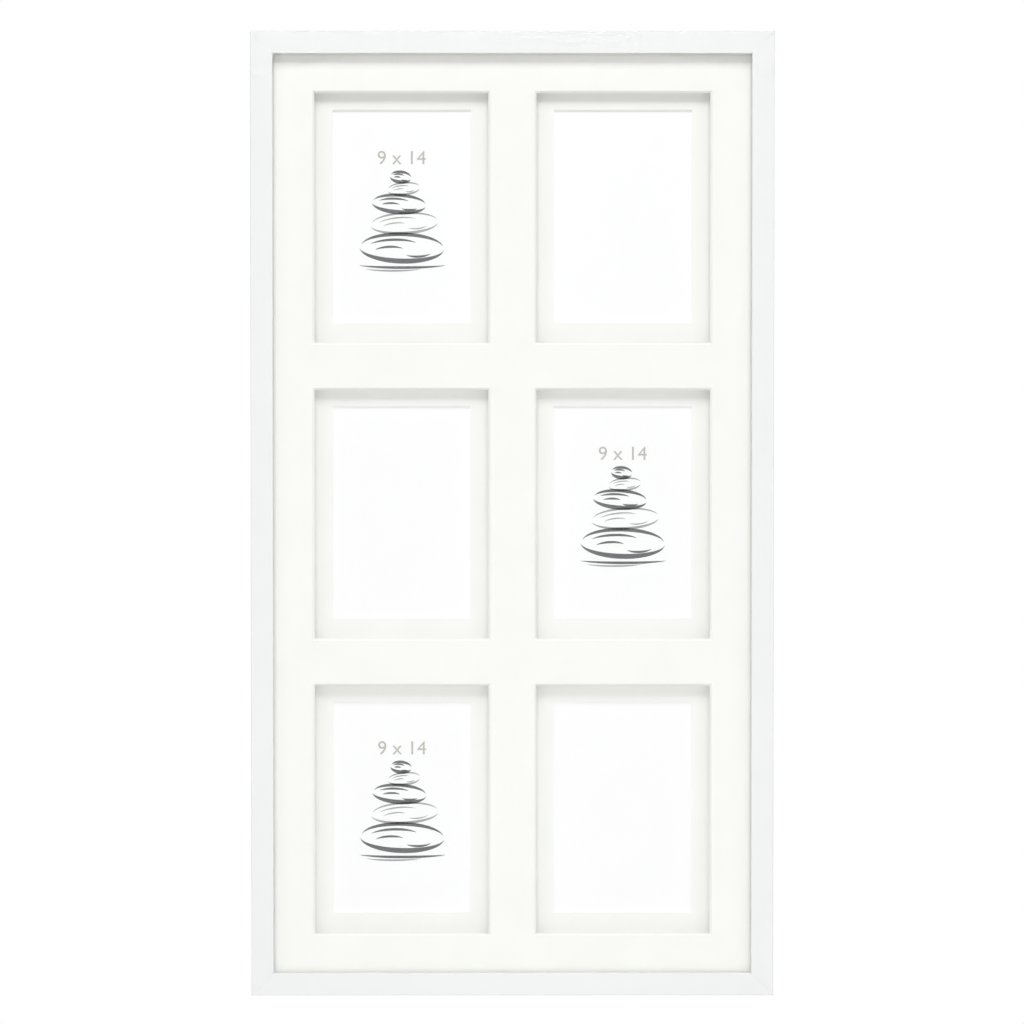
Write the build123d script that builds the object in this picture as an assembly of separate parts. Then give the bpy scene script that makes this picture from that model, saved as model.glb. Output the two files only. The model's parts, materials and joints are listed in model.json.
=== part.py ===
from build123d import *
import os
from math import asin, degrees

# A portrait collage frame for six prints, hung on a wall.
# X runs to the right as seen from the front, the glass faces -Y and Z is up.
# The origin lies on the wall plane, at the middle of the frame's outline.

# Outline and moulding section
frame_width = 340
frame_height = 627
rail_width = 14.5
rabbet_width = 5
lip_depth = 4.5
sight_edge_radius = 1.8
outer_edge_radius = 0.8

# Layout of the windows inside the rails, seen from the front
column_names = ["left", "right"]
row_names = ["bottom", "middle", "top"]
side_margin = 25.25
end_margin = 23.5
column_gap = 28.5
row_gap = 28
window_rim = 13
window_lift = 1.5
insert_side_overlap = 5
insert_end_overlap = 5.5

# Sheets that lie in the rabbet, from the glass to the back
sheet_clearance = 0.5
glass_thickness = 2
raised_mat_thickness = 1.4
spacer_thickness = 5.6
back_mat_thickness = 1.5
insert_thickness = 0.3
filler_thickness = 3
board_thickness = 3
board_recess = 0.2

# Foam strips that hold the raised mat off the back mat
side_spacer_width = 20
end_spacer_width = 19
bar_spacer_width = 14

# V-shaped nails that pin the mitres from behind
nail_leg = 4.6
nail_gauge = 0.7
nail_depth = 10
nail_inset = 2.8

# Turn buttons that keep the back board in, and their screws
button_thickness = 1.2
button_heel_radius = 4.2
button_tip_radius = 2.8
button_reach = 14
button_lift = 0.1
button_rib_width = 2
button_rib_height = 0.6
button_rib_start = 5.4
side_button_offset = 150
screw_shank_radius = 1.6
screw_running_gap = 0.05
screw_head_radius = 3.1
screw_head_height = 2
screw_head_edge = 1
screw_head_gap = 0.1
screw_bite = 8
screw_point = 2.4
screw_cross_width = 0.9
screw_cross_length = 3.6
screw_cross_depth = 1.2

# Riveted hangers with a swinging triangular ring, placed from the back board's upper edge
hanger_spread = 200
hanger_drop = 23
plate_width = 10
plate_length = 20
plate_gauge = 0.8
plate_corner_radius = 2.5
wire_radius = 1
wire_running_gap = 0.05
ring_width = 19
ring_height = 14.5
ring_foot_radius = 2.4
ring_top_radius = 3.2
ring_rest_gap = 0.3
rivet_drop = 13
rivet_shank_radius = 1.5
rivet_head_radius = 3
rivet_head_height = 0.9
rivet_head_edge = 0.6
rivet_tail_radius = 2.5
rivet_tail_height = 0.5

# Bumpers that keep the lower edge off the wall
bumper_radius = 4
bumper_thickness = 4
bumper_edge_radius = 0.8
bumper_inset = 32

# Every cutting shape runs this far past what it cuts
overrun = 2

# Planes across the depth, counted from the wall at zero towards the front
sheet_stack = (
    glass_thickness + raised_mat_thickness + spacer_thickness + back_mat_thickness
    + insert_thickness + filler_thickness + board_thickness
)
rail_depth = lip_depth + sheet_stack + board_recess
rail_back = -bumper_thickness
rail_front = rail_back - rail_depth
lip_back = rail_front + lip_depth
glass_front = lip_back
raised_mat_front = glass_front + glass_thickness
spacer_front = raised_mat_front + raised_mat_thickness
back_mat_front = spacer_front + spacer_thickness
insert_front = back_mat_front + back_mat_thickness
filler_front = insert_front + insert_thickness
board_front = filler_front + filler_thickness
board_back = board_front + board_thickness

# Windows worked out from the outline: those of the raised mat share the room inside the rails,
# and those of the back mat lie inside them
sight_width = frame_width - 2 * rail_width
sight_height = frame_height - 2 * rail_width
window_room_width = sight_width - 2 * side_margin - (len(column_names) - 1) * column_gap
window_room_height = sight_height - 2 * end_margin - (len(row_names) - 1) * row_gap
raised_window_width = window_room_width / len(column_names)
raised_window_height = window_room_height / len(row_names)
column_pitch = raised_window_width + column_gap
row_pitch = raised_window_height + row_gap
window_width = raised_window_width - 2 * window_rim
window_height = raised_window_height - 2 * window_rim
insert_width = window_width + 2 * insert_side_overlap
insert_height = window_height + 2 * insert_end_overlap

# Other sizes worked out from the ones above
leg_width = rail_width - rabbet_width
leg_middle = leg_width / 2
sheet_width = frame_width - 2 * (leg_width + sheet_clearance)
sheet_height = frame_height - 2 * (leg_width + sheet_clearance)
screw_hole_radius = screw_shank_radius + screw_running_gap
button_back = rail_back + button_lift + button_thickness
knuckle_bore_radius = wire_radius + wire_running_gap
knuckle_radius = knuckle_bore_radius + plate_gauge
ring_axis_depth = board_back + knuckle_radius
ring_axis_height = sheet_height / 2 - hanger_drop
ring_lean = degrees(asin((knuckle_radius - wire_radius - ring_rest_gap) / ring_height))
rivet_height = ring_axis_height - rivet_drop
bumper_height = leg_middle - frame_height / 2
nail_half = nail_leg / 2


def sheet(width, height, front, thickness, x=0, z=0):
    """A flat sheet or strip whose front face lies at the depth given."""
    return Pos(x, front + thickness / 2, z) * Box(width, thickness, height)


def window_places():
    """Name and centre of each window, seen from the front."""
    places = []
    for row, row_name in enumerate(row_names):
        for column, column_name in enumerate(column_names):
            x = (column - (len(column_names) - 1) / 2) * column_pitch
            z = (row - (len(row_names) - 1) / 2) * row_pitch
            places.append((row_name + "_" + column_name, x, z))
    return places


def moulding_section(half_span):
    """The rail's L-shaped section, with its outer edge at half_span above the middle."""
    sight = half_span - rail_width
    rabbet = half_span - leg_width
    corners = [
        (rail_front, half_span),
        (rail_back, half_span),
        (rail_back, rabbet),
        (lip_back, rabbet),
        (lip_back, sight),
        (rail_front, sight),
    ]
    outline = make_face(Polyline(*corners, close=True))
    front_corners = outline.vertices().group_by(Axis.X)[0].sort_by(Axis.Y)
    outline = fillet(front_corners[0], sight_edge_radius)
    outer_corner = outline.vertices().sort_by(Axis.X)[:2].sort_by(Axis.Y)[-1]
    outline = fillet(outer_corner, outer_edge_radius)
    return Plane.YZ * outline


def rail(run_length, half_span):
    """A rail along X, cut to a mitre at both ends."""
    bar = extrude(moulding_section(half_span), run_length / 2 + overrun, both=True)
    outer = half_span + overrun
    inner = half_span - rail_width - overrun
    outer_half = run_length / 2 + overrun
    inner_half = run_length / 2 - rail_width - overrun
    plan = make_face(Polyline(
        (-outer_half, outer), (outer_half, outer), (inner_half, inner), (-inner_half, inner), close=True
    ))
    reach = abs(rail_front) + overrun
    return bar & extrude(Plane.XZ * plan, reach, both=True)


def corner_nails():
    """One V nail across each mitre, flush with the back of the rails."""
    nails = []
    middle = rail_back - nail_depth / 2
    for side in (-1, 1):
        for end in (-1, 1):
            x = side * (frame_width / 2 - nail_inset)
            z = end * (frame_height / 2 - nail_inset)
            along_x = Pos(x - side * nail_half, middle, z) * Box(nail_leg, nail_depth, nail_gauge)
            along_z = Pos(x, middle, z - end * nail_half) * Box(nail_gauge, nail_depth, nail_leg)
            corner = Pos(x, middle, z) * Box(nail_gauge, nail_depth, nail_gauge)
            nails.append(along_x + along_z + corner)
    return nails


def raised_mat():
    """Front mat: each window is cut at 45 degrees through the board, wide at the front."""
    mat = sheet(sheet_width, sheet_height, raised_mat_front, raised_mat_thickness)
    widening = raised_mat_thickness + overrun
    narrowing = 2 * widening
    front_outline = Rectangle(raised_window_width + 2 * overrun, raised_window_height + 2 * overrun)
    back_outline = Rectangle(
        raised_window_width + 2 * overrun - 2 * narrowing,
        raised_window_height + 2 * overrun - 2 * narrowing,
    )
    front_plane = Plane.XZ.offset(-(raised_mat_front - overrun))
    back_plane = Plane.XZ.offset(-(raised_mat_front - overrun + narrowing))
    cutter = loft([front_plane * front_outline, back_plane * back_outline])
    for name, x, z in window_places():
        mat -= Pos(x, 0, z) * cutter
    return mat


def back_mat():
    """Rear mat: smaller windows with straight edges, lifted a little in the raised mat's windows."""
    mat = sheet(sheet_width, sheet_height, back_mat_front, back_mat_thickness)
    depth = back_mat_thickness + 2 * overrun
    for name, x, z in window_places():
        mat -= sheet(window_width, window_height, back_mat_front - overrun, depth, x, z + window_lift)
    return mat


def spacers():
    """Foam strips round the edge and between the windows, named by where they lie."""
    strips = {}
    side_x = (sheet_width - side_spacer_width) / 2
    end_z = (sheet_height - end_spacer_width) / 2
    end_length = sheet_width - 2 * side_spacer_width
    middle_length = sheet_height - 2 * end_spacer_width
    for name, sign in (("left", -1), ("right", 1)):
        strips["spacer_" + name] = sheet(
            side_spacer_width, sheet_height, spacer_front, spacer_thickness, sign * side_x
        )
    for name, sign in (("bottom", -1), ("top", 1)):
        strips["spacer_" + name] = sheet(
            end_length, end_spacer_width, spacer_front, spacer_thickness, 0, sign * end_z
        )
    strips["spacer_middle"] = sheet(bar_spacer_width, middle_length, spacer_front, spacer_thickness)
    bar_length = (end_length - bar_spacer_width) / 2
    bar_x = (bar_length + bar_spacer_width) / 2
    for name, sign in (("left", -1), ("right", 1)):
        for level, height in (("lower", -row_pitch / 2), ("upper", row_pitch / 2)):
            strips["spacer_bar_" + level + "_" + name] = sheet(
                bar_length, bar_spacer_width, spacer_front, spacer_thickness, sign * bar_x, height
            )
    return strips


def button_places():
    """Name, screw position and turn about Y that points each tongue at the back board."""
    side_x = frame_width / 2 - leg_middle
    end_z = frame_height / 2 - leg_middle
    return [
        ("top", 0, end_z, 90),
        ("bottom", 0, -end_z, -90),
        ("upper_left", -side_x, side_button_offset, 0),
        ("lower_left", -side_x, -side_button_offset, 0),
        ("upper_right", side_x, side_button_offset, 180),
        ("lower_right", side_x, -side_button_offset, 180),
    ]


def turn_button():
    """Stamped button: the heel turns on the screw, the ribbed tongue points along X."""
    heel = Circle(button_heel_radius)
    tip = Pos(button_reach, 0) * Circle(button_tip_radius)
    outline = make_hull(heel.edges() + tip.edges())
    plate = extrude(outline, button_thickness)
    rib_length = button_reach - button_rib_start
    rib_middle = (button_reach + button_rib_start) / 2
    rib = Pos(rib_middle, 0) * SlotCenterToCenter(rib_length, button_rib_width)
    plate += extrude(rib, button_thickness + button_rib_height)
    plate -= Pos(0, 0, button_thickness / 2) * Cylinder(screw_hole_radius, button_thickness + 2 * overrun)
    return Rot(-90, 0, 0) * plate


def button_screw():
    """Pan-head wood screw along Y, with its underhead plane at zero and its head towards +Y."""
    under_head = button_lift + button_thickness + screw_head_gap
    shank_length = under_head + screw_bite - screw_point
    head = Cylinder(screw_head_radius, screw_head_height, align=(Align.CENTER, Align.CENTER, Align.MIN))
    head = fillet(head.edges().group_by(Axis.Z)[-1], screw_head_edge)
    recess_floor = screw_head_height - screw_cross_depth
    for length, width in ((screw_cross_length, screw_cross_width), (screw_cross_width, screw_cross_length)):
        head -= Pos(0, 0, recess_floor) * Box(
            length, width, screw_cross_depth + overrun, align=(Align.CENTER, Align.CENTER, Align.MIN)
        )
    shank = Cylinder(screw_shank_radius, shank_length, align=(Align.CENTER, Align.CENTER, Align.MAX))
    point = Pos(0, 0, -shank_length) * Cone(
        0, screw_shank_radius, screw_point, align=(Align.CENTER, Align.CENTER, Align.MAX)
    )
    return Rot(-90, 0, 0) * (head + shank + point)


def hanger_plate():
    """Steel strap with a rolled eye along X at its top, lying on the board at zero depth."""
    strap = Pos(0, 0, -plate_length / 2) * Box(plate_width, plate_gauge, plate_length)
    strap = fillet(strap.edges().filter_by(Axis.Y).group_by(Axis.Z)[0], plate_corner_radius)
    strap = Pos(0, plate_gauge / 2, 0) * strap
    eye_place = Pos(0, knuckle_radius, 0) * Rot(0, 90, 0)
    eye = eye_place * Cylinder(knuckle_radius, plate_width)
    bore = eye_place * Cylinder(knuckle_bore_radius, plate_width + 2 * overrun)
    hole = Pos(0, 0, -rivet_drop) * Rot(90, 0, 0) * Cylinder(rivet_shank_radius, 2 * (plate_gauge + overrun))
    return strap + eye - bore - hole


def hanger_ring():
    """Wire triangle with rounded corners; its foot bar lies along X at the origin."""
    half = ring_width / 2
    corners = [(-half, 0, 0), (half, 0, 0), (0, 0, ring_height)]
    path = FilletPolyline(*corners, radius=[ring_foot_radius, ring_foot_radius, ring_top_radius], close=True)
    profile = Plane(path @ 0, z_dir=path % 0) * Circle(wire_radius)
    return Rot(ring_lean, 0, 0) * sweep(profile, path)


def hanger_rivet():
    """Rivet along Y: dome towards the wall, shank through strap and board, tail sunk in the board."""
    seat = plate_gauge
    length = seat + board_thickness
    dome = Cylinder(rivet_head_radius, rivet_head_height, align=(Align.CENTER, Align.CENTER, Align.MIN))
    dome = fillet(dome.edges().group_by(Axis.Z)[-1], rivet_head_edge)
    shank = Cylinder(rivet_shank_radius, length, align=(Align.CENTER, Align.CENTER, Align.MAX))
    tail = Pos(0, 0, -length) * Cylinder(
        rivet_tail_radius, rivet_tail_height, align=(Align.CENTER, Align.CENTER, Align.MIN)
    )
    return Rot(-90, 0, 0) * (Pos(0, 0, seat) * (dome + shank + tail))


def bumper_sides():
    """Name and X position of each wall bumper."""
    side_x = frame_width / 2 - bumper_inset
    return [("left", -side_x), ("right", side_x)]


def wall_bumper():
    """Round pad whose wall side lies at zero depth."""
    pad = Cylinder(bumper_radius, bumper_thickness, align=(Align.CENTER, Align.CENTER, Align.MAX))
    pad = fillet(pad.edges().group_by(Axis.Z)[-1], bumper_edge_radius)
    return Rot(-90, 0, 0) * pad


def hanger_sides():
    """Name and X position of each hanger."""
    return [("left", -hanger_spread / 2), ("right", hanger_spread / 2)]


def build_rails(nails, screws):
    """The four rails, cut for the nails and for the screws that each one holds."""
    long_rail = rail(frame_height, frame_width / 2)
    short_rail = rail(frame_width, frame_height / 2)
    rails = {
        "rail_top": short_rail,
        "rail_bottom": Rot(0, 180, 0) * short_rail,
        "rail_right": Rot(0, 90, 0) * long_rail,
        "rail_left": Rot(0, -90, 0) * long_rail,
    }
    for name in rails:
        for cutter in nails + screws:
            if rails[name].bounding_box().overlaps(cutter.bounding_box()):
                rails[name] = rails[name] - cutter
    return rails


def build_parts():
    """Every node by name."""
    parts = {}
    nails = corner_nails()
    places = button_places()
    screw_seat = rail_back + button_lift + button_thickness + screw_head_gap
    screws = [Pos(x, screw_seat, z) * button_screw() for name, x, z, turn in places]
    parts.update(build_rails(nails, screws))
    parts["corner_nails"] = Compound(children=nails)
    parts["front_glass"] = sheet(sheet_width, sheet_height, glass_front, glass_thickness)
    parts["raised_mat"] = raised_mat()
    parts.update(spacers())
    parts["back_mat"] = back_mat()
    for name, x, z in window_places():
        parts["photo_insert_" + name] = sheet(
            insert_width, insert_height, insert_front, insert_thickness, x, z + window_lift
        )
    parts["filler_pad"] = sheet(sheet_width, sheet_height, filler_front, filler_thickness)
    parts["back_board"] = sheet(sheet_width, sheet_height, board_front, board_thickness)
    button_seat = rail_back + button_lift
    for name, x, z, turn in places:
        parts["turn_button_" + name] = Pos(x, button_seat, z) * Rot(0, turn, 0) * turn_button()
    parts["button_screws"] = Compound(children=screws)
    rivets = []
    for name, x in hanger_sides():
        rivet = Pos(x, board_back, rivet_height) * hanger_rivet()
        parts["back_board"] = parts["back_board"] - rivet
        rivets.append(rivet)
        parts["hanger_plate_" + name] = Pos(x, board_back, ring_axis_height) * hanger_plate()
        parts["hanger_ring_" + name] = Pos(x, ring_axis_depth, ring_axis_height) * hanger_ring()
    parts["hanger_rivets"] = Compound(children=rivets)
    for name, x in bumper_sides():
        parts["wall_bumper_" + name] = Pos(x, 0, bumper_height) * wall_bumper()
    return parts


os.makedirs("parts", exist_ok=True)
for node, shape in build_parts().items():
    export_step(shape, "parts/" + node + ".step")
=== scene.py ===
import json
import math

import bmesh
import bpy
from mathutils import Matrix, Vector


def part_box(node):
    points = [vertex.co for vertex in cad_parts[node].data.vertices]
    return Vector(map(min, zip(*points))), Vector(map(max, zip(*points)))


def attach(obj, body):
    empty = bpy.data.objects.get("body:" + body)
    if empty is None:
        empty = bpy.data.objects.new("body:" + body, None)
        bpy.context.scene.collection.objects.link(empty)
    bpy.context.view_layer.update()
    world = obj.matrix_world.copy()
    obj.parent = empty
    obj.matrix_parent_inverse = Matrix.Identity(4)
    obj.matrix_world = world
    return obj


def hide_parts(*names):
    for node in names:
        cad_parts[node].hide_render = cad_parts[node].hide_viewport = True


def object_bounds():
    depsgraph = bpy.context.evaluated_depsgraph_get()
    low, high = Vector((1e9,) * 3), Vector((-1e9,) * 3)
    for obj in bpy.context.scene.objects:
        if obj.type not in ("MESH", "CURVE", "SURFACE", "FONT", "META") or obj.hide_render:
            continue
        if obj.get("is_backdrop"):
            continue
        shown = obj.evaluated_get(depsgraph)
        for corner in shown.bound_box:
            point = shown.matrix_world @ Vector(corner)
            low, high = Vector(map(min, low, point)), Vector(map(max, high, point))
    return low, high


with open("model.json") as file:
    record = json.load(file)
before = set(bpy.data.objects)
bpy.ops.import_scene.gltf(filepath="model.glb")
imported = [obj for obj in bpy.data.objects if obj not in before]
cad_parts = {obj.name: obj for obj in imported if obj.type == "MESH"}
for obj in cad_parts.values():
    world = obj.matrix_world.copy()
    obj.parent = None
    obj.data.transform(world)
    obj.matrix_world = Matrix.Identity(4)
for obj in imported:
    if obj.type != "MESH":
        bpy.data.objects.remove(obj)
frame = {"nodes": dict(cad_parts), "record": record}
cadLow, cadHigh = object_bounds()
nodes = frame["nodes"]
mm = 0.001


# working in edit mode

def clearSelection():
    if bpy.context.mode != "OBJECT":
        bpy.ops.object.mode_set(mode="OBJECT")
    bpy.ops.object.select_all(action="DESELECT")


def openPiece(piece):
    clearSelection()
    piece.select_set(True)
    bpy.context.view_layer.objects.active = piece
    bpy.ops.object.mode_set(mode="EDIT")


def closePiece():
    bpy.ops.object.mode_set(mode="OBJECT")


def pickFaces(piece, wanted):
    # wanted gets each face's middle and normal
    bpy.ops.mesh.select_mode(type="FACE")
    bpy.ops.mesh.select_all(action="DESELECT")
    mesh = bmesh.from_edit_mesh(piece.data)
    for face in mesh.faces:
        face.select_set(wanted(face.calc_center_median(), face.normal))
    bmesh.update_edit_mesh(piece.data)


def pickEdges(piece, wanted):
    # wanted gets the two ends of each edge
    bpy.ops.mesh.select_mode(type="EDGE")
    bpy.ops.mesh.select_all(action="DESELECT")
    mesh = bmesh.from_edit_mesh(piece.data)
    for edge in mesh.edges:
        edge.select_set(wanted(edge.verts[0].co, edge.verts[1].co))
    bmesh.update_edit_mesh(piece.data)


def pickPoints(piece, wanted):
    bpy.ops.mesh.select_mode(type="VERT")
    bpy.ops.mesh.select_all(action="DESELECT")
    mesh = bmesh.from_edit_mesh(piece.data)
    for point in mesh.verts:
        point.select_set(wanted(point.co))
    bmesh.update_edit_mesh(piece.data)


def bakePlace(piece):
    clearSelection()
    piece.select_set(True)
    bpy.context.view_layer.objects.active = piece
    bpy.ops.object.transform_apply(location=True, rotation=True, scale=True)


def applyModifier(piece, kind, settings):
    clearSelection()
    piece.select_set(True)
    bpy.context.view_layer.objects.active = piece
    bpy.ops.object.modifier_add(type=kind)
    modifier = piece.modifiers[-1]
    for key, value in settings.items():
        setattr(modifier, key, value)
    bpy.ops.object.modifier_apply(modifier=modifier.name)


def smoothPiece(piece, sharpAbove):
    clearSelection()
    piece.select_set(True)
    bpy.context.view_layer.objects.active = piece
    bpy.ops.object.shade_smooth_by_angle(angle=math.radians(sharpAbove))
    applyModifier(piece, "WEIGHTED_NORMAL", {"keep_sharp": True, "weight": 100})


def copyPiece(piece, name):
    other = piece.copy()
    other.data = piece.data.copy()
    other.name = name
    other.data.name = name
    bpy.context.scene.collection.objects.link(other)
    return other


# building materials out of nodes

# the stretches of a noise that hold most of its contrast
midNoise = (0.35, 0.65)
mostNoise = (0.3, 0.7)
mostFlecks = (0.12, 0.42)


def addNode(tree, kind, settings=None, **inputs):
    node = tree.nodes.new(kind)
    for key, value in (settings or {}).items():
        setattr(node, key, value)
    for key, value in inputs.items():
        # in0, in1 and so on name a socket by its number, for nodes whose sockets share a name
        numbered = key.startswith("in") and key[2:].isdigit()
        socket = node.inputs[int(key[2:]) if numbered else key.replace("_", " ")]
        if isinstance(value, bpy.types.NodeSocket):
            tree.links.new(value, socket)
        else:
            socket.default_value = value
    return node


def startMaterial(name):
    material = bpy.data.materials.new(name)
    material.use_nodes = True
    tree = material.node_tree
    shader = next(node for node in tree.nodes if node.type == "BSDF_PRINCIPLED")
    return material, tree, shader


def startGroup(name, inputs, outputs):
    group = bpy.data.node_groups.new(name, "ShaderNodeTree")
    for label, kind, value in inputs:
        socket = group.interface.new_socket(name=label, in_out="INPUT", socket_type=kind)
        if value is not None:
            socket.default_value = value
    for label, kind in outputs:
        group.interface.new_socket(name=label, in_out="OUTPUT", socket_type=kind)
    entry = group.nodes.new("NodeGroupInput")
    leave = group.nodes.new("NodeGroupOutput")
    return group, entry, leave


def objectPlace(tree):
    return addNode(tree, "ShaderNodeTexCoord").outputs["Object"]


def objectNormal(tree):
    return addNode(tree, "ShaderNodeTexCoord").outputs["Normal"]


def colour(red, green, blue):
    return (red, green, blue, 1.0)


def mixColours(tree, share, first, second):
    node = addNode(tree, "ShaderNodeMix", {"data_type": "RGBA"})
    for socket, value in ((node.inputs[0], share), (node.inputs[6], first), (node.inputs[7], second)):
        if isinstance(value, bpy.types.NodeSocket):
            tree.links.new(value, socket)
        else:
            socket.default_value = value
    return node.outputs[2]


def spread(tree, value, fromLow, fromHigh, toLow, toHigh):
    node = addNode(
        tree, "ShaderNodeMapRange", in0=value, in1=fromLow, in2=fromHigh, in3=toLow, in4=toHigh
    )
    return node.outputs[0]


def calculate(tree, operation, first, second=0.0):
    return addNode(tree, "ShaderNodeMath", {"operation": operation}, in0=first, in1=second).outputs[0]


def raiseSurface(tree, shader, height, strength, distance):
    bump = addNode(tree, "ShaderNodeBump", Height=height, Strength=strength, Distance=distance)
    tree.links.new(bump.outputs[0], shader.inputs["Normal"])


def makePaperGrain():
    # fibres about a millimetre long and soft clouds a few centimetres wide
    group, entry, leave = startGroup(
        "paperGrain",
        [("Vector", "NodeSocketVector", None), ("Fibre Scale", "NodeSocketFloat", 1300.0),
         ("Cloud Scale", "NodeSocketFloat", 45.0)],
        [("Cloud", "NodeSocketFloat"), ("Fibre", "NodeSocketFloat"), ("Height", "NodeSocketFloat")],
    )
    place = entry.outputs["Vector"]
    clouds = addNode(group, "ShaderNodeTexNoise", Vector=place, Scale=entry.outputs["Cloud Scale"],
                     Detail=4.0, Roughness=0.55)
    fibres = addNode(group, "ShaderNodeTexNoise", Vector=place, Scale=entry.outputs["Fibre Scale"],
                     Detail=3.0, Roughness=0.6, Distortion=1.4)
    pits = addNode(group, "ShaderNodeTexVoronoi", {"feature": "SMOOTH_F1"}, Vector=place,
                   Scale=entry.outputs["Fibre Scale"], Smoothness=0.6)
    height = calculate(group, "MULTIPLY_ADD", pits.outputs["Distance"], 0.5)
    group.links.new(fibres.outputs[0], height.node.inputs[2])
    group.links.new(clouds.outputs[0], leave.inputs["Cloud"])
    group.links.new(fibres.outputs[0], leave.inputs["Fibre"])
    group.links.new(height, leave.inputs["Height"])
    return group


def makeBoardFibre():
    # pressed wood fibre: dark and light flecks over slow stains
    group, entry, leave = startGroup(
        "boardFibre",
        [("Vector", "NodeSocketVector", None), ("Fleck Scale", "NodeSocketFloat", 900.0)],
        [("Fleck", "NodeSocketFloat"), ("Stain", "NodeSocketFloat")],
    )
    place = entry.outputs["Vector"]
    upright = addNode(group, "ShaderNodeMapping", Vector=place, Scale=(1.0, 1.0, 0.6),
                      Rotation=(0.0, 0.9, 0.0))
    across = addNode(group, "ShaderNodeMapping", Vector=place, Scale=(0.6, 1.0, 1.0),
                     Rotation=(0.0, -0.5, 0.0))
    flecks = []
    for direction in (upright, across):
        flecks.append(addNode(group, "ShaderNodeTexNoise", Vector=direction.outputs[0],
                              Scale=entry.outputs["Fleck Scale"], Detail=3.0, Roughness=0.65).outputs[0])
    both = calculate(group, "MULTIPLY", flecks[0], flecks[1])
    stains = addNode(group, "ShaderNodeTexNoise", Vector=place, Scale=14.0, Detail=5.0, Roughness=0.6)
    group.links.new(spread(group, both, *mostFlecks, 0.0, 1.0), leave.inputs["Fleck"])
    group.links.new(stains.outputs[0], leave.inputs["Stain"])
    return group


def makePlatedSkin():
    # handling marks on plated steel: fine scratches and dull patches
    group, entry, leave = startGroup(
        "platedSkin",
        [("Vector", "NodeSocketVector", None), ("Scratch Scale", "NodeSocketFloat", 1500.0)],
        [("Scratch", "NodeSocketFloat"), ("Patch", "NodeSocketFloat")],
    )
    place = entry.outputs["Vector"]
    drawn = addNode(group, "ShaderNodeMapping", Vector=place, Scale=(1.0, 1.0, 0.08),
                    Rotation=(0.0, 0.5, 0.0))
    scratches = addNode(group, "ShaderNodeTexNoise", Vector=drawn.outputs[0],
                        Scale=entry.outputs["Scratch Scale"], Detail=4.0, Roughness=0.7)
    patches = addNode(group, "ShaderNodeTexNoise", Vector=place, Scale=260.0, Detail=3.0)
    group.links.new(scratches.outputs[0], leave.inputs["Scratch"])
    group.links.new(patches.outputs[0], leave.inputs["Patch"])
    return group


groups = {
    "paperGrain": makePaperGrain(),
    "boardFibre": makeBoardFibre(),
    "platedSkin": makePlatedSkin(),
}


def placeGroup(tree, name, **inputs):
    node = addNode(tree, "ShaderNodeGroup", {"node_tree": groups[name]})
    tree.links.new(objectPlace(tree), node.inputs["Vector"])
    for key, value in inputs.items():
        node.inputs[key.replace("_", " ")].default_value = value
    return node


foil = {
    "light": colour(0.862, 0.875, 0.872),
    "dark": colour(0.850, 0.863, 0.860),
    "roughness": (0.38, 0.48),
    "specular": 0.9,
    "peelScale": 700.0,
    "cloudScale": 22.0,
    "bump": 0.05,
    "bumpDepth": 0.0002,
}


def makeFoil():
    material, tree, shader = startMaterial("whiteFoil")
    grain = placeGroup(tree, "paperGrain", Fibre_Scale=foil["peelScale"], Cloud_Scale=foil["cloudScale"])
    shade = spread(tree, grain.outputs["Cloud"], *midNoise, 0.0, 1.0)
    tree.links.new(mixColours(tree, shade, foil["dark"], foil["light"]), shader.inputs["Base Color"])
    low, high = foil["roughness"]
    tree.links.new(spread(tree, grain.outputs["Fibre"], *mostNoise, low, high), shader.inputs["Roughness"])
    shader.inputs["Specular IOR Level"].default_value = foil["specular"]
    raiseSurface(tree, shader, grain.outputs["Height"], foil["bump"], foil["bumpDepth"])
    return material


fibreboard = {
    "light": colour(0.46, 0.33, 0.20),
    "dark": colour(0.27, 0.18, 0.10),
    "fleckScale": 1400.0,
    "stain": 0.25,
    "roughness": 0.85,
    "bump": 0.35,
    "bumpDepth": 0.0003,
}


def makeFibreboard():
    material, tree, shader = startMaterial("bareFibreboard")
    fibre = placeGroup(tree, "boardFibre", Fleck_Scale=fibreboard["fleckScale"])
    wood = mixColours(tree, fibre.outputs["Fleck"], fibreboard["dark"], fibreboard["light"])
    stain = spread(tree, fibre.outputs["Stain"], *mostNoise, 0.0, fibreboard["stain"])
    tree.links.new(mixColours(tree, stain, wood, fibreboard["dark"]), shader.inputs["Base Color"])
    shader.inputs["Roughness"].default_value = fibreboard["roughness"]
    raiseSurface(tree, shader, fibre.outputs["Fleck"], fibreboard["bump"], fibreboard["bumpDepth"])
    return material


mats = {
    "raised": {
        "name": "raisedMatBoard",
        "light": colour(0.954, 0.956, 0.928),
        "dark": colour(0.939, 0.941, 0.912),
    },
    "back": {
        "name": "backMatBoard",
        "light": colour(0.948, 0.950, 0.921),
        "dark": colour(0.933, 0.935, 0.905),
    },
    "core": colour(0.955, 0.955, 0.938),
    "fibreScale": 1500.0,
    "cloudScale": 38.0,
    "roughness": 0.8,
    "specular": 0.2,
    "bump": 0.16,
    "bumpDepth": 0.0001,
    "faceAbove": 0.9,
}


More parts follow.
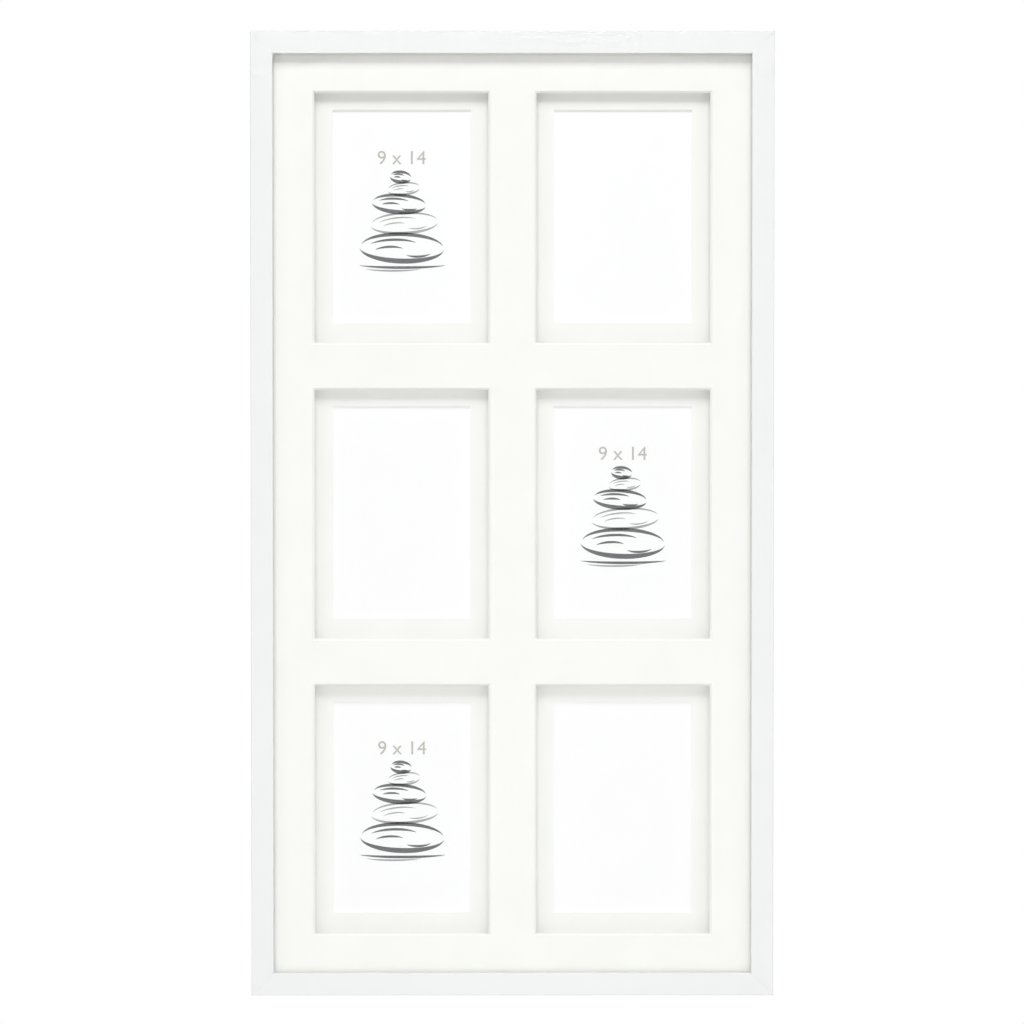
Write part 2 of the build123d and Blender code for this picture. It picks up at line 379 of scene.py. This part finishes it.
def makeMat(which):
    values = mats[which]
    material, tree, shader = startMaterial(values["name"])
    grain = placeGroup(tree, "paperGrain", Fibre_Scale=mats["fibreScale"], Cloud_Scale=mats["cloudScale"])
    cloud = spread(tree, grain.outputs["Cloud"], *midNoise, 0.0, 1.0)
    paper = mixColours(tree, cloud, values["dark"], values["light"])
    # the faces show the paper, the cut bevels the core
    facing = addNode(tree, "ShaderNodeSeparateXYZ", Vector=objectNormal(tree))
    sideways = calculate(tree, "ABSOLUTE", facing.outputs["Y"])
    flat = calculate(tree, "GREATER_THAN", sideways, mats["faceAbove"])
    tree.links.new(mixColours(tree, flat, mats["core"], paper), shader.inputs["Base Color"])
    shader.inputs["Roughness"].default_value = mats["roughness"]
    shader.inputs["Specular IOR Level"].default_value = mats["specular"]
    raiseSurface(tree, shader, grain.outputs["Height"], mats["bump"], mats["bumpDepth"])
    return material


card = {
    "light": colour(0.972, 0.975, 0.973),
    "dark": colour(0.962, 0.965, 0.964),
    "fibreScale": 2600.0,
    "cloudScale": 70.0,
    "roughness": 0.55,
    "specular": 0.3,
    "bump": 0.05,
    "bumpDepth": 0.00005,
}


def makeCard():
    material, tree, shader = startMaterial("whiteCard")
    grain = placeGroup(tree, "paperGrain", Fibre_Scale=card["fibreScale"], Cloud_Scale=card["cloudScale"])
    tree.links.new(mixColours(tree, grain.outputs["Cloud"], card["dark"], card["light"]),
                   shader.inputs["Base Color"])
    shader.inputs["Roughness"].default_value = card["roughness"]
    shader.inputs["Specular IOR Level"].default_value = card["specular"]
    raiseSurface(tree, shader, grain.outputs["Height"], card["bump"], card["bumpDepth"])
    return material


inks = {
    "darkInk": {"full": colour(0.070, 0.076, 0.080), "thin": colour(0.125, 0.131, 0.136)},
    "paleInk": {"full": colour(0.300, 0.305, 0.308), "thin": colour(0.380, 0.385, 0.388)},
    "numberInk": {"full": colour(0.440, 0.420, 0.390), "thin": colour(0.520, 0.500, 0.470)},
    "fibreScale": 3800.0,
    "roughness": 0.5,
    "bump": 0.1,
    "bumpDepth": 0.00003,
}


def makeInk(name):
    material, tree, shader = startMaterial(name)
    grain = placeGroup(tree, "paperGrain", Fibre_Scale=inks["fibreScale"])
    load = spread(tree, grain.outputs["Fibre"], *mostNoise, 0.0, 1.0)
    tree.links.new(mixColours(tree, load, inks[name]["full"], inks[name]["thin"]),
                   shader.inputs["Base Color"])
    shader.inputs["Roughness"].default_value = inks["roughness"]
    raiseSurface(tree, shader, grain.outputs["Fibre"], inks["bump"], inks["bumpDepth"])
    return material


glass = {
    "tint": colour(0.992, 0.994, 0.992),
    "roughness": 0.0,
    "ior": 1.45,
    "streakScale": 3.0,
    "bump": 0.02,
    "bumpDepth": 0.0002,
}


def makeGlass():
    # lamps and scattered light pass straight through, sight and mirror images bend and reflect
    material, tree, shader = startMaterial("clearGlass")
    shader.inputs["Base Color"].default_value = glass["tint"]
    shader.inputs["Roughness"].default_value = glass["roughness"]
    shader.inputs["IOR"].default_value = glass["ior"]
    shader.inputs["Transmission Weight"].default_value = 1.0
    streaks = addNode(tree, "ShaderNodeTexNoise", Vector=objectPlace(tree), Scale=glass["streakScale"],
                      Detail=1.0)
    raiseSurface(tree, shader, streaks.outputs[0], glass["bump"], glass["bumpDepth"])
    path = addNode(tree, "ShaderNodeLightPath")
    through = calculate(tree, "MAXIMUM", path.outputs["Is Shadow Ray"], path.outputs["Is Diffuse Ray"])
    clear = addNode(tree, "ShaderNodeBsdfTransparent", Color=glass["tint"])
    mix = addNode(tree, "ShaderNodeMixShader", in0=through)
    tree.links.new(shader.outputs[0], mix.inputs[1])
    tree.links.new(clear.outputs[0], mix.inputs[2])
    ending = next(node for node in tree.nodes if node.type == "OUTPUT_MATERIAL")
    tree.links.new(mix.outputs[0], ending.inputs["Surface"])
    return material


foam = {
    "light": colour(0.92, 0.92, 0.90),
    "dark": colour(0.80, 0.80, 0.78),
    "cellScale": 1600.0,
    "roughness": 0.9,
    "bump": 0.3,
    "bumpDepth": 0.0003,
}


def makeFoam():
    material, tree, shader = startMaterial("whiteFoam")
    cells = addNode(tree, "ShaderNodeTexVoronoi", Vector=objectPlace(tree), Scale=foam["cellScale"])
    # painted shade: the cell pits, where the bump sinks, take the dark colour
    tree.links.new(mixColours(tree, cells.outputs["Distance"], foam["dark"], foam["light"]),
                   shader.inputs["Base Color"])
    shader.inputs["Roughness"].default_value = foam["roughness"]
    raiseSurface(tree, shader, cells.outputs["Distance"], foam["bump"], foam["bumpDepth"])
    return material


pad = {
    "light": colour(0.62, 0.47, 0.31),
    "dark": colour(0.44, 0.31, 0.19),
    "fluteScale": 80.0,
    "fleckScale": 700.0,
    "shade": 0.25,
    "roughness": 0.9,
    "bump": 0.3,
    "bumpDepth": 0.0003,
}


def makeCorrugated():
    material, tree, shader = startMaterial("corrugatedCard")
    flutes = addNode(tree, "ShaderNodeTexWave", {"bands_direction": "Z"}, Vector=objectPlace(tree),
                     Scale=pad["fluteScale"])
    fibre = placeGroup(tree, "boardFibre", Fleck_Scale=pad["fleckScale"])
    paper = mixColours(tree, fibre.outputs["Fleck"], pad["dark"], pad["light"])
    shade = spread(tree, flutes.outputs["Fac"], 0.0, 1.0, 0.0, pad["shade"])
    tree.links.new(mixColours(tree, shade, paper, pad["dark"]), shader.inputs["Base Color"])
    shader.inputs["Roughness"].default_value = pad["roughness"]
    raiseSurface(tree, shader, flutes.outputs["Fac"], pad["bump"], pad["bumpDepth"])
    return material


hardboard = {
    "light": colour(0.33, 0.205, 0.115),
    "dark": colour(0.150, 0.085, 0.045),
    "fleckScale": 620.0,
    "screenPitch": 1.1,
    "stain": 0.45,
    # how much painted shade darkens the waffle's hollows
    "hollow": 0.28,
    "roughness": 0.72,
    "bump": 0.35,
    "bumpDepth": 0.0003,
}


def makeHardboard():
    # the wire screen of the press leaves a fine waffle on the rough side, whose hollows are painted darker as
    # painted shade
    material, tree, shader = startMaterial("screenedHardboard")
    fibre = placeGroup(tree, "boardFibre", Fleck_Scale=hardboard["fleckScale"])
    place = addNode(tree, "ShaderNodeSeparateXYZ", Vector=objectPlace(tree))
    turns = 2 * math.pi / (hardboard["screenPitch"] * mm)
    ridges = []
    for axis in ("X", "Z"):
        angle = calculate(tree, "MULTIPLY", place.outputs[axis], turns)
        ridges.append(calculate(tree, "SINE", angle))
    waffle = spread(tree, calculate(tree, "MULTIPLY", ridges[0], ridges[1]), -1.0, 1.0, 0.0, 1.0)
    wood = mixColours(tree, fibre.outputs["Fleck"], hardboard["dark"], hardboard["light"])
    stain = spread(tree, fibre.outputs["Stain"], *mostNoise, 0.0, hardboard["stain"])
    stained = mixColours(tree, stain, wood, hardboard["dark"])
    # painted shade: the waffle's hollows take more of the dark colour
    hollows = spread(tree, waffle, 0.0, 1.0, hardboard["hollow"], 0.0)
    tree.links.new(mixColours(tree, hollows, stained, hardboard["dark"]), shader.inputs["Base Color"])
    shader.inputs["Roughness"].default_value = hardboard["roughness"]
    height = calculate(tree, "ADD", waffle, fibre.outputs["Fleck"])
    raiseSurface(tree, shader, height, hardboard["bump"], hardboard["bumpDepth"])
    return material


steels = {
    "zincSteel": {
        "light": colour(0.70, 0.71, 0.73),
        "dark": colour(0.52, 0.54, 0.57),
        "roughness": (0.28, 0.46),
    },
    "nickelSteel": {
        "light": colour(0.74, 0.72, 0.69),
        "dark": colour(0.60, 0.58, 0.55),
        "roughness": (0.16, 0.30),
    },
    "bump": 0.08,
    "bumpDepth": 0.00005,
}


def makeSteel(name):
    material, tree, shader = startMaterial(name)
    skin = placeGroup(tree, "platedSkin")
    patch = spread(tree, skin.outputs["Patch"], *midNoise, 0.0, 1.0)
    tree.links.new(mixColours(tree, patch, steels[name]["dark"], steels[name]["light"]),
                   shader.inputs["Base Color"])
    shader.inputs["Metallic"].default_value = 1.0
    low, high = steels[name]["roughness"]
    tree.links.new(spread(tree, skin.outputs["Scratch"], *mostNoise, low, high), shader.inputs["Roughness"])
    raiseSurface(tree, shader, skin.outputs["Scratch"], steels["bump"], steels["bumpDepth"])
    return material


rubber = {
    "light": colour(0.062, 0.062, 0.064),
    "dark": colour(0.035, 0.035, 0.037),
    "fibreScale": 3000.0,
    "cloudScale": 300.0,
    "roughness": 0.7,
    "bump": 0.25,
    "bumpDepth": 0.0001,
}


def makeRubber():
    material, tree, shader = startMaterial("darkRubber")
    grain = placeGroup(tree, "paperGrain", Fibre_Scale=rubber["fibreScale"], Cloud_Scale=rubber["cloudScale"])
    tree.links.new(mixColours(tree, grain.outputs["Cloud"], rubber["dark"], rubber["light"]),
                   shader.inputs["Base Color"])
    shader.inputs["Roughness"].default_value = rubber["roughness"]
    raiseSurface(tree, shader, grain.outputs["Height"], rubber["bump"], rubber["bumpDepth"])
    return material


finishes = {
    "foil": makeFoil(),
    "fibreboard": makeFibreboard(),
    "raisedMat": makeMat("raised"),
    "backMat": makeMat("back"),
    "card": makeCard(),
    "darkInk": makeInk("darkInk"),
    "paleInk": makeInk("paleInk"),
    "numberInk": makeInk("numberInk"),
    "glass": makeGlass(),
    "foam": makeFoam(),
    "corrugated": makeCorrugated(),
    "hardboard": makeHardboard(),
    "zinc": makeSteel("zincSteel"),
    "nickel": makeSteel("nickelSteel"),
    "rubber": makeRubber(),
}
print("materials ready:", len(finishes))


# finishes of the nodes, by their material slots

slotFinish = {
    "rail_foil": "foil",
    "clear_glass": "glass",
    "mat_board": "raisedMat",
    "back_mat_board": "backMat",
    "spacer_foam": "foam",
    "insert_paper": "card",
    "corrugated_card": "corrugated",
    "hardboard": "hardboard",
    "button_steel": "zinc",
    "hanger_steel": "nickel",
    "fastener_steel": "zinc",
    "bumper_rubber": "rubber",
}
nodeSlot = {part["node"]: part["material_slot"] for part in frame["record"]["subparts"]}
for name, node in nodes.items():
    for place in node.material_slots:
        place.material = finishes[slotFinish[nodeSlot[name]]]
print("finishes on the nodes:", len(nodes))


# rails: a leg with a lip, rounded towards the pictures and cut to mitres

rail = {
    "sightRadius": 0.7,
    "sightSteps": 4,
    "outerRadius": 0.5,
    "outerSteps": 3,
    "backRadius": 0.3,
    "backSteps": 2,
    "rabbetWidth": 5.0,
    "foilWrap": 1.6,
    "mitreGap": 0.20,
    "mitreSteps": 1,
    "nailStand": 0.02,
    "near": 0.01,
    "slant": 0.01,
    "sharpAbove": 35,
    "turns": {"rail_top": 0, "rail_right": 90, "rail_bottom": 180, "rail_left": -90},
}


def makeRail(node, turn):
    low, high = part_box(node)
    size = high - low
    run = max(size.x, size.z)
    width = min(size.x, size.z)
    span = cadHigh.z if turn in (0, 180) else cadHigh.x
    front = low.y
    back = high.y - rail["nailStand"] * mm
    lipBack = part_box("front_glass")[0].y
    legWidth = width - rail["rabbetWidth"] * mm
    sight = span - width
    near = rail["near"] * mm
    # a face whose normal has more than this along an axis is square to it
    square = 1 - rail["slant"]
    clearSelection()
    bpy.ops.mesh.primitive_cube_add(
        size=1,
        location=(0, (front + back) / 2, span - legWidth / 2),
        scale=(run + 2 * width, back - front, legWidth),
    )
    piece = bpy.context.active_object
    piece.name = "foiled_" + node
    bakePlace(piece)
    openPiece(piece)
    bpy.ops.mesh.select_all(action="SELECT")
    bpy.ops.mesh.bisect(plane_co=(0, lipBack, 0), plane_no=(0, 1, 0))
    pickFaces(piece, lambda middle, normal: normal.z < -square and middle.y < lipBack)
    bpy.ops.mesh.extrude_region_move(TRANSFORM_OT_translate={"value": (0, 0, -rail["rabbetWidth"] * mm)})

    def alongRun(start, end, y, z):
        return all(abs(point.y - y) < near and abs(point.z - z) < near for point in (start, end))

    for y, z, radius, steps in (
        (front, sight, "sightRadius", "sightSteps"),
        (front, span, "outerRadius", "outerSteps"),
        (back, span, "backRadius", "backSteps"),
    ):
        pickEdges(piece, lambda start, end: alongRun(start, end, y, z))
        bpy.ops.mesh.bevel(offset=rail[radius] * mm, segments=rail[steps], affect="EDGES")
    pickFaces(piece, lambda middle, normal: normal.y > square and middle.z > span - legWidth)
    wrapLine = span - rail["foilWrap"] * mm
    bpy.ops.mesh.bisect(plane_co=(0, 0, wrapLine), plane_no=(0, 0, 1))
    for side in (-1, 1):
        bpy.ops.mesh.select_mode(type="VERT")
        bpy.ops.mesh.select_all(action="SELECT")
        bpy.ops.mesh.bisect(
            plane_co=(side * run / 2, 0, span), plane_no=(side, 0, -1), use_fill=True, clear_outer=True
        )

    # a hair of a chamfer where two rails meet
    def onMitre(point):
        return abs(abs(point.x) - run / 2 + span - point.z) < near and point.y < lipBack - near

    pickEdges(piece, lambda start, end: onMitre(start) and onMitre(end))
    bpy.ops.mesh.bevel(offset=rail["mitreGap"] * mm, segments=rail["mitreSteps"], affect="EDGES")
    closePiece()
    piece.data.materials.append(finishes["foil"])
    piece.data.materials.append(finishes["fibreboard"])
    for face in piece.data.polygons:
        x, y, z = face.normal
        bareBack = y > square and face.center.z < wrapLine
        mitre = abs(abs(x) - abs(z)) < rail["slant"] and abs(y) < rail["slant"]
        rabbet = z < -square and face.center.y > lipBack
        face.material_index = 1 if bareBack or mitre or rabbet else 0
    piece.rotation_euler.y = math.radians(turn)
    bakePlace(piece)
    smoothPiece(piece, rail["sharpAbove"])
    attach(piece, "frame")
    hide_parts(node)
    return piece


for railNode, railTurn in rail["turns"].items():
    makeRail(railNode, railTurn)
print("rails mitred:", len(rail["turns"]))


# prints: stones piled by the water, drawn with a brush, and a number for the window's size

stones = {
    "cards": ["photo_insert_top_left", "photo_insert_middle_right", "photo_insert_bottom_left"],
    "centre": (0.0, -2.7),
    "film": 0.025,
    "gap": 0.005,
    "steps": 64,
    "joinWithin": 0.0005,
    # how wide the strokes of the dark and the pale ink are on the widest stone; narrower stones have less
    "heavy": (3.3, 1.95),
    "lightest": 0.62,
    "pile": [
        {"width": 55.0, "height": 20.0, "x": 0.0, "z": -17.6, "tilt": -1.5, "ink": 0},
        {"width": 44.0, "height": 14.0, "x": 1.6, "z": -1.6, "tilt": 3.0, "ink": 1},
        {"width": 35.0, "height": 13.0, "x": -1.8, "z": 11.0, "tilt": -4.0, "ink": 0},
        {"width": 21.0, "height": 8.2, "x": 1.2, "z": 20.8, "tilt": 5.0, "ink": 1},
        {"width": 13.5, "height": 8.0, "x": -0.8, "z": 28.4, "tilt": -7.0, "ink": 0},
    ],
    # part is a share of the stone's width, rise of its height, at of both, and shift is in millimetres
    "strokes": [
        {"part": 1.0, "rise": 0.50, "weight": 1.0, "cut": 0.0, "at": (0, 0), "shift": (0.0, -0.5),
         "down": True, "lean": 0},
        {"part": 0.97, "rise": 0.47, "weight": 0.75, "cut": 0.0, "at": (0, 0), "shift": (0.3, 0.5),
         "down": False, "lean": 0},
        {"part": 0.56, "rise": 0.17, "weight": 0.50, "cut": 0.5, "at": (-0.10, 0.12), "shift": (0, 0),
         "down": False, "lean": 3.0},
        {"part": 0.34, "rise": 0.12, "weight": 0.45, "cut": 0.5, "at": (-0.15, -0.07), "shift": (0, 0),
         "down": False, "lean": 4.0},
        {"part": 0.30, "rise": 0.12, "weight": 0.45, "cut": 0.5, "at": (0.20, -0.20), "shift": (0, 0),
         "down": True, "lean": 4.0},
    ],
    "rippleCut": 0.5,
    "ripples": [
        {"width": 58.0, "rise": 2.4, "weight": 1.8, "x": 0.4, "z": -29.2, "ink": 0},
        {"width": 37.0, "rise": 1.8, "weight": 1.2, "x": -5.5, "z": -31.6, "ink": 1},
    ],
}
numbers = {"size": 12.6, "centre": (0.0, 37.8), "curveSteps": 6, "cardOverlap": 10, "mmPerCm": 10, "ink": 2}
inkSlots = ("darkInk", "paleInk", "numberInk")


def inkPiece(piece, ink):
    piece.data.materials.clear()
    for key in inkSlots:
        piece.data.materials.append(finishes[key])
    for face in piece.data.polygons:
        face.material_index = ink


def brushStroke(width, rise, weight, cut, x, z, tilt, down, ink):
    # a bow between two ends, thick in the middle and running out to points
    clearSelection()
    bpy.ops.mesh.primitive_circle_add(vertices=stones["steps"], radius=1, fill_type="NOTHING")
    stroke = bpy.context.active_object
    openPiece(stroke)
    pickPoints(stroke, lambda point: point.y < cut - stones["joinWithin"])
    bpy.ops.mesh.delete(type="VERT")
    bpy.ops.mesh.select_all(action="SELECT")
    bpy.ops.mesh.duplicate()
    bpy.ops.transform.resize(value=(1, 1 - weight / rise, 1), center_override=(0, cut, 0))
    bpy.ops.mesh.select_all(action="SELECT")
    bpy.ops.mesh.bridge_edge_loops()
    bpy.ops.mesh.select_all(action="SELECT")
    bpy.ops.mesh.remove_doubles(threshold=stones["joinWithin"])
    bpy.ops.transform.translate(value=(0, -cut, 0))
    closePiece()
    chord = math.sqrt(1 - cut * cut)
    stroke.scale = (width * mm / (2 * chord), rise * mm / (1 - cut), 1)
    bakePlace(stroke)
    stroke.rotation_euler.z = math.radians(tilt + (180 if down else 0))
    stroke.location = (x * mm, z * mm, 0)
    bakePlace(stroke)
    inkPiece(stroke, ink)
    return stroke


def stoneStrokes(stone):
    width, height = stone["width"], stone["height"]
    lightest = stones["lightest"]
    heavy = stones["heavy"][stone["ink"]] * (lightest + (1 - lightest) * width / stones["pile"][0]["width"])
    angle = math.radians(stone["tilt"])
    strokes = []
    for line in stones["strokes"]:
        along = line["at"][0] * width + line["shift"][0]
        up = line["at"][1] * height + line["shift"][1]
        strokes.append(brushStroke(
            width * line["part"], height * line["rise"], heavy * line["weight"], line["cut"],
            stone["x"] + along * math.cos(angle) - up * math.sin(angle),
            stone["z"] + along * math.sin(angle) + up * math.cos(angle),
            stone["tilt"] + line["lean"], line["down"], stone["ink"],
        ))
    return strokes


def numberShape(text):
    clearSelection()
    bpy.ops.object.text_add()
    label = bpy.context.active_object
    label.data.body = text
    label.data.align_x = "CENTER"
    label.data.align_y = "CENTER"
    label.data.size = numbers["size"] * mm
    label.data.resolution_u = numbers["curveSteps"]
    bpy.ops.object.convert(target="MESH")
    label.location = (numbers["centre"][0] * mm, numbers["centre"][1] * mm, 0)
    bakePlace(label)
    inkPiece(label, numbers["ink"])
    return label


def makePrint():
    strokes = []
    for stone in stones["pile"]:
        strokes += stoneStrokes(stone)
    for ripple in stones["ripples"]:
        strokes.append(brushStroke(
            ripple["width"], ripple["rise"], ripple["weight"], stones["rippleCut"],
            ripple["x"], ripple["z"], 0, True, ripple["ink"],
        ))
    for stroke in strokes:
        stroke.location = (stones["centre"][0] * mm, stones["centre"][1] * mm, 0)
        bakePlace(stroke)
    # the number gives the small window in whole centimetres
    low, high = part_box(stones["cards"][0])
    window = (high - low) / mm
    wide = round(window.x - numbers["cardOverlap"]) // numbers["mmPerCm"]
    tall = round(window.z - numbers["cardOverlap"]) // numbers["mmPerCm"]
    strokes.append(numberShape(f"{wide} x {tall}"))
    clearSelection()
    for stroke in strokes:
        stroke.select_set(True)
    bpy.context.view_layer.objects.active = strokes[0]
    bpy.ops.object.join()
    drawing = bpy.context.active_object
    drawing.rotation_euler.x = math.radians(90)
    bakePlace(drawing)
    openPiece(drawing)
    bpy.ops.mesh.select_all(action="SELECT")
    bpy.ops.mesh.normals_make_consistent(inside=False)
    closePiece()
    applyModifier(drawing, "SOLIDIFY", {"thickness": stones["film"] * mm, "offset": 0.0})
    return drawing


drawing = makePrint()
for cardNode in stones["cards"]:
    low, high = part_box(cardNode)
    printed = copyPiece(drawing, cardNode.replace("photo_insert", "printed_stones"))
    depth = low.y - (stones["film"] / 2 + stones["gap"]) * mm
    printed.location = ((low.x + high.x) / 2, depth, (low.z + high.z) / 2)
    bakePlace(printed)
    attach(printed, "frame")
bpy.data.objects.remove(drawing)
print("cards printed:", len(stones["cards"]))


# small steel parts: the nodes' own shapes with their edges broken

hardware = {"edge": 0.12, "steps": 2, "sharpAbove": 40, "flatWithin": 1.0, "joinWithin": 0.001}


def breakEdges(node, name, finish, body):
    piece = copyPiece(nodes[node], name)
    piece.parent = None
    openPiece(piece)
    bpy.ops.mesh.select_all(action="SELECT")
    bpy.ops.mesh.remove_doubles(threshold=hardware["joinWithin"] * mm)
    bpy.ops.mesh.customdata_custom_splitnormals_clear()
    bpy.ops.mesh.select_all(action="SELECT")
    bpy.ops.mesh.dissolve_limited(angle_limit=math.radians(hardware["flatWithin"]))
    closePiece()
    applyModifier(piece, "BEVEL", {
        "width": hardware["edge"] * mm, "segments": hardware["steps"], "limit_method": "ANGLE",
        "angle_limit": math.radians(hardware["sharpAbove"]), "use_clamp_overlap": True,
    })
    smoothPiece(piece, hardware["sharpAbove"])
    piece.data.materials.clear()
    piece.data.materials.append(finishes[finish])
    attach(piece, body)
    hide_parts(node)
    return piece


for name in sorted(nodes):
    if name.startswith("turn_button_"):
        breakEdges(name, name.replace("turn_button", "pressed_button"), "zinc", name)
    if name.startswith("hanger_plate_"):
        breakEdges(name, name.replace("hanger_plate", "rolled_strap"), "nickel", "frame")
print("steel edges broken")


# the pane, seamed at its edges and a hair clear of the lip and the mat

pane = {"clearance": 0.04}


def makePane():
    piece = breakEdges("front_glass", "seamed_pane", "glass", "frame")
    low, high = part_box("front_glass")
    middle = (low.y + high.y) / 2
    openPiece(piece)
    bpy.ops.mesh.select_all(action="SELECT")
    bpy.ops.transform.resize(
        value=(1, 1 - 2 * pane["clearance"] * mm / (high.y - low.y), 1), center_override=(0, middle, 0)
    )
    closePiece()


makePane()
print("pane seamed")


# camera, lamps and surroundings

camera = {
    "place": (-0.0058, -2.2256, 0.0498),
    "tiltDown": 1.252,
    "turnRight": 0.145,
    "fieldOfView": 17.2,
    "sensor": 36.0,
    "clip": (0.05, 30.0),
}


def makeCamera():
    data = bpy.data.cameras.new("photoCamera")
    data.sensor_width = camera["sensor"]
    data.lens = camera["sensor"] / 2 / math.tan(math.radians(camera["fieldOfView"] / 2))
    data.clip_start, data.clip_end = camera["clip"]
    viewer = bpy.data.objects.new("photoCamera", data)
    viewer.location = camera["place"]
    viewer.rotation_euler = (math.radians(90 - camera["tiltDown"]), 0, math.radians(-camera["turnRight"]))
    bpy.context.scene.collection.objects.link(viewer)
    bpy.context.scene.camera = viewer


lamps = {
    "topSoftbox": {"place": (0.0, -1.06, 1.44), "aim": (0.0, 0.0, 0.50), "wide": 1.10, "tall": 0.60,
                   "spread": 90, "power": 4.5, "mirrored": True},
    "widePanel": {"place": (0.0, -1.20, 0.0), "aim": (0.0, 0.0, 0.0), "wide": 1.60, "tall": 0.30,
                  "spread": 180, "power": 2.25, "mirrored": False},
    "leftPanel": {"place": (-1.25, -1.00, 0.0), "aim": (0.0, 0.0, 0.0), "wide": 0.60, "tall": 0.30,
                  "spread": 180, "power": 2.3, "mirrored": False},
    "rightPanel": {"place": (1.25, -1.00, 0.0), "aim": (0.0, 0.0, 0.0), "wide": 0.60, "tall": 0.30,
                   "spread": 180, "power": 2.3, "mirrored": False},
    "frontGrid": {"place": (0.0, -2.20, 0.05), "aim": (0.0, 0.0, -0.35), "wide": 0.60, "tall": 0.12,
                  "spread": 50, "power": 0.96, "mirrored": False},
    "rearPanel": {"place": (0.9, 1.9, 1.3), "aim": (0.0, 0.0, 0.0), "wide": 1.20, "tall": 1.20,
                  "spread": 180, "power": 20.0, "mirrored": True},
}


def makeLamps():
    for name, values in lamps.items():
        data = bpy.data.lights.new(name, "AREA")
        data.shape = "RECTANGLE"
        data.size = values["wide"]
        data.size_y = values["tall"]
        data.energy = values["power"]
        data.spread = math.radians(values["spread"])
        lamp = bpy.data.objects.new(name, data)
        lamp.location = values["place"]
        direction = Vector(values["aim"]) - Vector(values["place"])
        lamp.rotation_euler = direction.to_track_quat("-Z", "Y").to_euler()
        lamp.visible_camera = False
        lamp.visible_glossy = values["mirrored"]
        lamp.visible_transmission = values["mirrored"]
        bpy.context.scene.collection.objects.link(lamp)


air = {"level": 0.24, "seen": 1.0}


def makeWorld():
    world = bpy.data.worlds.new("paleStudio")
    world.use_nodes = True
    tree = world.node_tree
    background = next(node for node in tree.nodes if node.type == "BACKGROUND")
    background.inputs["Color"].default_value = colour(1.0, 1.0, 1.0)
    path = addNode(tree, "ShaderNodeLightPath")
    seen = calculate(tree, "MAXIMUM", path.outputs["Is Camera Ray"], path.outputs["Is Glossy Ray"])
    seen = calculate(tree, "MAXIMUM", seen, path.outputs["Is Transmission Ray"])
    tree.links.new(spread(tree, seen, 0.0, 1.0, air["level"], air["seen"]), background.inputs["Strength"])
    bpy.context.scene.world = world


ground = {
    "drop": 0.25,
    "left": -3.0,
    "right": 3.0,
    "front": -4.0,
    "behind": 1.15,
    "light": colour(0.93, 0.93, 0.93),
    "dark": colour(0.91, 0.91, 0.91),
    "noiseScale": 2.0,
    "roughness": 0.9,
    "glow": 0.24,
}


def makeGround():
    clearSelection()
    bpy.ops.mesh.primitive_plane_add(size=1)
    plane = bpy.context.active_object
    plane.name = "paleFloor"
    plane.scale = (ground["right"] - ground["left"], ground["behind"] - ground["front"], 1)
    plane.location = (
        (ground["right"] + ground["left"]) / 2,
        (ground["behind"] + ground["front"]) / 2,
        cadLow.z - ground["drop"],
    )
    bakePlace(plane)
    material, tree, shader = startMaterial("paleFloor")
    noise = addNode(tree, "ShaderNodeTexNoise", Vector=objectPlace(tree), Scale=ground["noiseScale"],
                    Detail=3.0)
    tree.links.new(mixColours(tree, noise.outputs[0], ground["dark"], ground["light"]),
                   shader.inputs["Base Color"])
    shader.inputs["Roughness"].default_value = ground["roughness"]
    # the camera sees the floor paler than the lamps leave it, still with the shadows
    path = addNode(tree, "ShaderNodeLightPath")
    glow = calculate(tree, "MULTIPLY", path.outputs["Is Camera Ray"], ground["glow"])
    shader.inputs["Emission Color"].default_value = colour(1.0, 1.0, 1.0)
    tree.links.new(glow, shader.inputs["Emission Strength"])
    plane.data.materials.append(material)
    # the pane mirrors the plain white all round, not the floor's edge
    plane.visible_glossy = False
    plane.visible_transmission = False
    plane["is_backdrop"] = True


makeCamera()
makeLamps()
makeWorld()
makeGround()
bpy.context.scene.view_settings.view_transform = "Standard"
print("studio ready")

clearSelection()
low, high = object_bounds()
